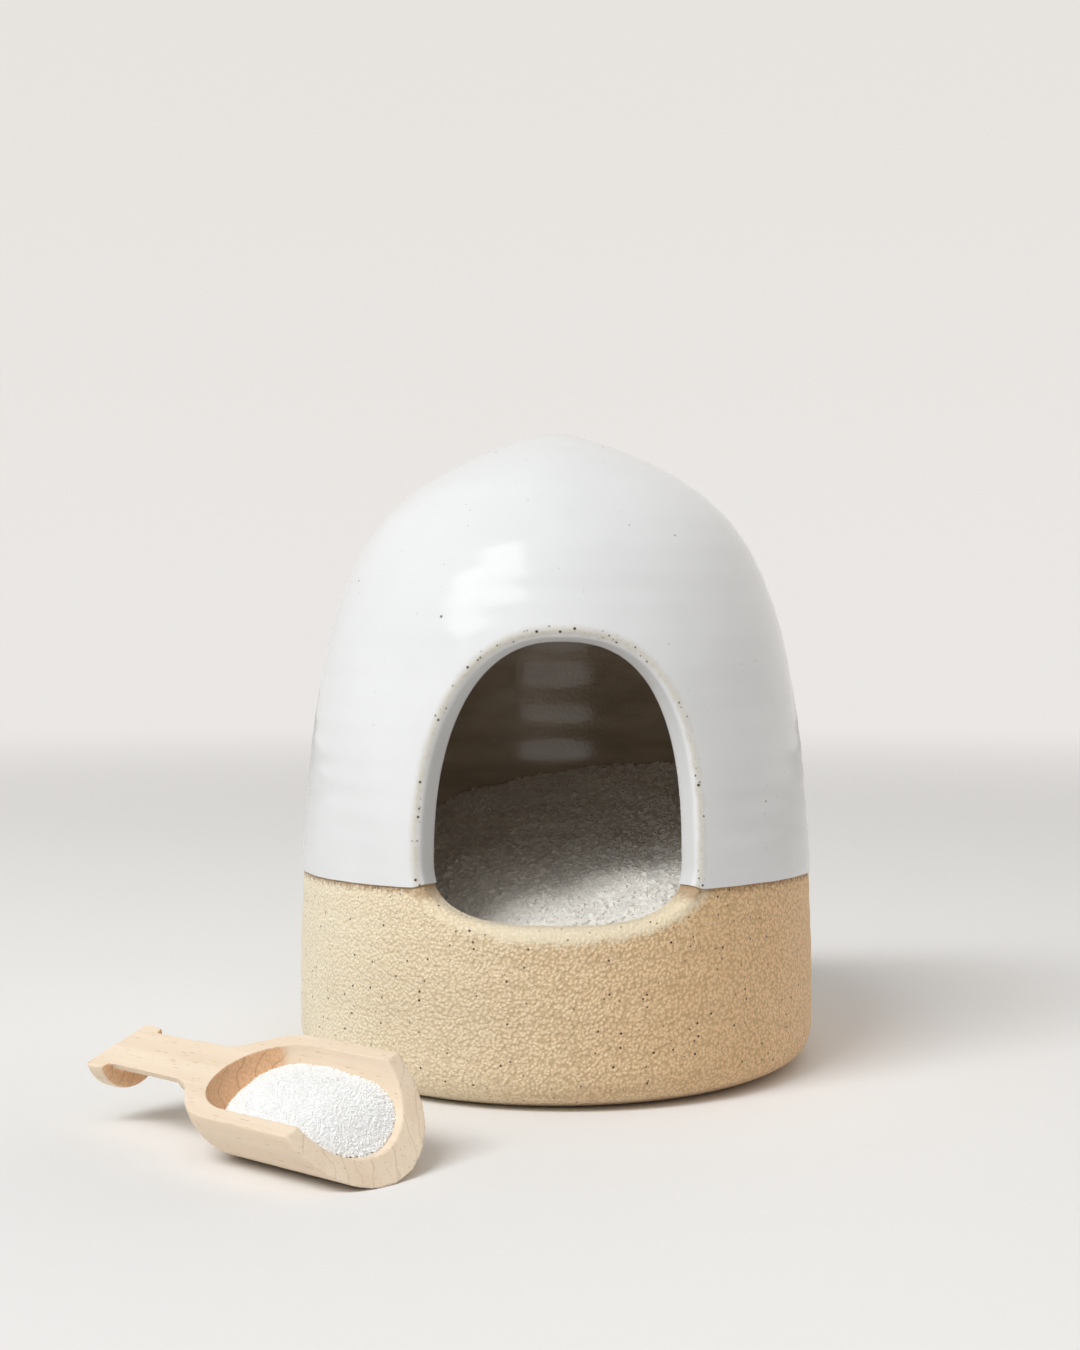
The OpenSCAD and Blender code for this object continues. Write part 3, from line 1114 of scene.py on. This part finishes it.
def clayFinish():
    tree, shader, material = newMaterial("rawClay")
    place = placeOf(tree)
    lot, other = cells(tree, place, clayLook["grainScale"])[1:]
    fine = cloudy(tree, place, clayLook["fineScale"], 2)
    sand = sums(tree, "ADD", sums(tree, "MULTIPLY", lot, 0.6), sums(tree, "MULTIPLY", fine, 0.5))
    colour = mixColour(tree, fade(tree, sand, 0.2, 0.9), clayLook["darkGrain"], clayLook["paleGrain"])
    # wide bands from the wheel and clouds in the clay
    bands = cloudy(tree, stretched(tree, place, clayLook["bandScale"]), 1.0, 3)
    bands = fade(tree, bands, 0.4, 0.75, 0.0, clayLook["bandShare"])
    clouds = cloudy(tree, place, clayLook["cloudScale"], 3)
    clouds = fade(tree, clouds, 0.4, 0.75, 0.0, clayLook["cloudShare"])
    colour = mixColour(tree, sums(tree, "ADD", bands, clouds), colour, clayLook["patch"])
    bright = sums(tree, "MULTIPLY", fade(tree, other, 0.94, 0.96), clayLook["brightShare"])
    colour = mixColour(tree, bright, colour, clayLook["brightGrain"])
    # painted light and shade: the lit left side is painted paler and the shaded right side warmer
    across = addNode(tree, "SeparateXYZ", None, {"Vector": place}).outputs[0]
    towardShade = fade(tree, across, *clayLook["litToShadeFade"])
    sideLightPaint = mixColour(tree, towardShade, clayLook["paintedLitSide"], clayLook["paintedShadeSide"])
    colour = mixColour(tree, 1.0, colour, sideLightPaint, "MULTIPLY")
    # painted shade: the hollows between the grains of sand are painted darker, most of all towards the
    # shaded right side
    grit = cells(tree, place, clayLook["gritScale"])[0]
    towardShade = fade(tree, across, *clayLook["creviceShadeFade"])
    creviceShade = mixColour(tree, towardShade, clayLook["litSideCreviceShade"], clayLook["shadeSideCreviceShade"])
    shaded = mixColour(tree, 1.0, colour, creviceShade, "MULTIPLY")
    colour = mixColour(tree, fade(tree, grit, 0.25, 0.75), colour, shaded)
    # the sill is smoother, and is painted paler: partly its sponged clay, partly painted light where its
    # rounded lip catches the light, most on the right; the clay is toasted close under the glaze
    reach = ragged(tree, "archReach", place, **clayLook["sillEdge"])
    sill = fade(tree, reach, 2.4, 4.2, 1.0, 0.0)
    sillPaleLit = sums(tree, "MULTIPLY", sill, fade(tree, across, *clayLook["sillLitFade"], 0.1, 0.62))
    colour = mixColour(tree, sillPaleLit, colour, clayLook["sillPaleLit"])
    under = ragged(tree, "underGlaze", place, **clayLook["toastEdge"])
    nearArch = fade(tree, reach, 1.0, 4.0, 0.6, 0.0)
    corner = sums(tree, "MULTIPLY", nearArch, fade(tree, under, 0.8, 3.4, 1.0, 0.0))
    toasted = sums(tree, "MAXIMUM", fade(tree, under, -0.2, 1.5, 0.75, 0.0), corner)
    colour = mixColour(tree, toasted, colour, clayLook["toasted"])
    dark = specks(tree, place, **clayLook["dots"])
    colour = mixColour(tree, dark, colour, clayLook["speck"])
    plug(tree, shader.inputs["Base Color"], colour)
    shader.inputs["Roughness"].default_value = clayLook["roughness"]
    shader.inputs["Specular IOR Level"].default_value = clayLook["specular"]
    shader.inputs["Sheen Weight"].default_value = clayLook["sheen"]
    shader.inputs["Sheen Roughness"].default_value = 0.5
    rise = sums(tree, "SUBTRACT", sums(tree, "MULTIPLY", fine, 0.5), grit)
    rise = sums(tree, "MULTIPLY", rise, fade(tree, sill, 0.0, 1.0, 1.0, 0.45))
    rise = sums(tree, "SUBTRACT", rise, sums(tree, "MULTIPLY", dark, 0.6))
    bumped(tree, shader, rise, 1.0, clayLook["relief"] * mm)
    return material


glazeLook = {
    "white": paint(229, 230, 231),
    "shade": paint(225, 226, 227),
    "speck": paint(70, 54, 40),
    "faintSpeck": paint(150, 140, 128),
    "thin": paint(204, 197, 181),
    "thinSpeck": paint(58, 40, 26),
    "toneScale": 45,
    "mottleScale": 1500,
    "rippleScale": 260,
    "crestEdge": {"scale": 400, "detail": 2, "by": 0.25},
    "faintDots": {"scale": 420, "share": 0.5, "size": 0.09},
    "darkDots": {"scale": 210, "share": 0.25, "size": 0.07},
    "rustDots": {"scale": 760, "share": 0.9, "size": 0.23},
    "roughness": (0.13, 0.4),
    "relief": 0.3,
}


def glazeFinish():
    tree, shader, material = newMaterial("whiteGlaze")
    place = placeOf(tree)
    tone = cloudy(tree, place, glazeLook["toneScale"], 2)
    colour = twoTone(tree, tone, glazeLook["shade"], glazeLook["white"])
    faint = specks(tree, place, **glazeLook["faintDots"])
    colour = mixColour(tree, sums(tree, "MULTIPLY", faint, 0.4), colour, glazeLook["faintSpeck"])
    dots = specks(tree, place, **glazeLook["darkDots"])
    colour = mixColour(tree, sums(tree, "MULTIPLY", dots, 0.85), colour, glazeLook["speck"])
    # over the crest of the arch's edge the glaze runs thin and the clay shows through
    reach = ragged(tree, "archReach", place, **glazeLook["crestEdge"])
    crest = sums(tree, "MULTIPLY", fade(tree, reach, -0.5, 0.3), fade(tree, reach, 0.4, 2.2, 1.0, 0.0))
    mottled = fade(tree, cloudy(tree, place, glazeLook["mottleScale"], 3), 0.25, 0.7, 0.5, 1.0)
    thin = sums(tree, "MULTIPLY", crest, mottled)
    colour = mixColour(tree, sums(tree, "MULTIPLY", thin, 0.85), colour, glazeLook["thin"])
    rust = specks(tree, place, **glazeLook["rustDots"])
    rust = sums(tree, "MULTIPLY", rust, fade(tree, crest, 0.1, 0.5))
    colour = mixColour(tree, rust, colour, glazeLook["thinSpeck"])
    plug(tree, shader.inputs["Base Color"], colour)
    plug(tree, shader.inputs["Roughness"], fade(tree, thin, 0.0, 1.0, *glazeLook["roughness"]))
    ripple = cloudy(tree, place, glazeLook["rippleScale"], 2)
    bumped(tree, shader, ripple, 0.03, glazeLook["relief"] * mm)
    return material


linerLook = {
    "dark": paint(172, 155, 135),
    "pale": paint(190, 174, 154),
    "bandScale": (40, 40, 160),
    "pitScale": 1300,
    "roughness": 0.05,
    "ior": 1.6,
    "relief": 0.16,
}


def linerFinish():
    tree, shader, material = newMaterial("brownLiner")
    place = placeOf(tree)
    bands = cloudy(tree, stretched(tree, place, linerLook["bandScale"]), 1.0, 3)
    plug(tree, shader.inputs["Base Color"], twoTone(tree, bands, linerLook["dark"], linerLook["pale"]))
    shader.inputs["Roughness"].default_value = linerLook["roughness"]
    shader.inputs["IOR"].default_value = linerLook["ior"]
    pits = cloudy(tree, place, linerLook["pitScale"], 2)
    bumped(tree, shader, pits, 0.25, linerLook["relief"] * mm)
    return material


# partly painted shade: the pot's coarse salt is painted darker and warmer than the scoop's fine salt,
# standing in for the brown light inside the pot
coarseShadedLook = {"name": "coarseShadedSalt", "shade": paint(232, 228, 220), "white": paint(240, 237, 231)}
fineLook = {"name": "fineSalt", "shade": paint(248, 248, 247), "white": paint(252, 252, 252)}
saltLook = {"toneScale": 900, "roughness": 0.35}


def saltFinish(look):
    tree, shader, material = newMaterial(look["name"])
    tone = cloudy(tree, placeOf(tree), saltLook["toneScale"], 2)
    plug(tree, shader.inputs["Base Color"], twoTone(tree, tone, look["shade"], look["white"]))
    shader.inputs["Roughness"].default_value = saltLook["roughness"]
    return material


beechLook = {
    "shade": paint(236, 215, 189),
    "pale": paint(244, 226, 203),
    "line": paint(210, 180, 148),
    "fleck": paint(150, 108, 74),
    "endShade": paint(218, 170, 127),
    "endPale": paint(235, 191, 149),
    "endLine": paint(158, 110, 76),
    "figureScale": (14, 200, 200),
    "lineScale": (60, 1500, 1500),
    "fleckScale": (240, 1900, 1900),
    "flecks": {"scale": 1.0, "share": 0.9, "size": 0.2},
    "fleckShare": 0.4,
    "tearScale": 1700,
    "ringWidth": 4.2,
    "ringWaver": 2.2,
    "ringWaverScale": 85,
    "mouthFrom": 50.5,
    "roughness": 0.62,
    "specular": 0.35,
    "relief": 0.2,
}


def beechFinish():
    tree, shader, material = newMaterial("paleBeech")
    place = readMask(tree, "grainPlace", "Vector")
    figure = cloudy(tree, stretched(tree, place, beechLook["figureScale"]), 1.0, 4)
    colour = twoTone(tree, figure, beechLook["shade"], beechLook["pale"])
    lines = cloudy(tree, stretched(tree, place, beechLook["lineScale"]), 1.0, 3)
    colour = mixColour(tree, fade(tree, lines, 0.55, 0.8, 0.0, 0.4), colour, beechLook["line"])
    flecks = specks(tree, stretched(tree, place, beechLook["fleckScale"]), **beechLook["flecks"])
    flecks = sums(tree, "MULTIPLY", flecks, beechLook["fleckShare"])
    colour = mixColour(tree, flecks, colour, beechLook["fleck"])
    # across the grain the wood is darker and torn
    torn = cloudy(tree, place, beechLook["tearScale"], 3)
    across = twoTone(tree, torn, beechLook["endShade"], beechLook["endPale"])
    axes = addNode(tree, "SeparateXYZ", None, {"Vector": place}).outputs
    waver = beechLook["ringWaver"] * mm
    uneven = fade(tree, cloudy(tree, place, beechLook["ringWaverScale"], 2), 0.3, 0.7, -waver, waver)
    years = sums(tree, "ADD", sums(tree, "SUBTRACT", axes[1], axes[2]), uneven)
    years = sums(tree, "FRACT", sums(tree, "DIVIDE", years, beechLook["ringWidth"] * mm))
    across = mixColour(tree, fade(tree, years, 0.9, 0.98, 0.0, 0.5), across, beechLook["endLine"])
    # the mouth's planed edge stays pale and shows only the year rings
    cut = fade(tree, readMask(tree, "endGrain"), 0.42, 0.6)
    mouthFrom = beechLook["mouthFrom"]
    behind = fade(tree, axes[0], mouthFrom * mm, (mouthFrom + 1) * mm, 0.9, 0.0)
    endShare = sums(tree, "MULTIPLY", cut, behind)
    yearShare = sums(tree, "MULTIPLY", cut, fade(tree, years, 0.86, 0.98, 0.0, 0.2))
    colour = mixColour(tree, yearShare, colour, beechLook["fleck"])
    colour = mixColour(tree, endShare, colour, across)
    plug(tree, shader.inputs["Base Color"], colour)
    shader.inputs["Roughness"].default_value = beechLook["roughness"]
    shader.inputs["Specular IOR Level"].default_value = beechLook["specular"]
    rise = sums(tree, "MULTIPLY", torn, fade(tree, endShare, 0.0, 1.0, 0.15, 1.0))
    bumped(tree, shader, sums(tree, "SUBTRACT", rise, flecks), 0.35, beechLook["relief"] * mm)
    return material


# Making and finishing

clay = makeClay()
finishPiece(clay, "cellar", "raw_clay", clayFinish(), "stoneware_body")
coatPiece = makeGlaze()
finishPiece(coatPiece, "cellar", "white_glaze", glazeFinish(), "dome_glaze", "arch_glaze")
liner = makeLiner()
finishPiece(liner, "cellar", "liner_glaze", linerFinish(), "liner_glaze")
bed = makeSalt("saltBed", saltBed, bedHeight, inBed)
strewCrystals(bed, saltBed, bedHeight, inBed)
toPlace(bed, Matrix.Identity(4))
finishPiece(bed, "cellar", "salt", saltFinish(coarseShadedLook), "salt_bed")
heap = makeSalt("scoopSalt", scoopSalt, heapHeight, inScoop)
strewCrystals(heap, scoopSalt, heapHeight, inScoop)
toPlace(heap, scoopFrame)
finishPiece(heap, "scoop", "salt", saltFinish(fineLook), "scoop_salt")
beech = makeScoop()
markGrain(beech)
toPlace(beech, scoopFrame)
finishPiece(beech, "scoop", "beech", beechFinish(), "wooden_scoop")
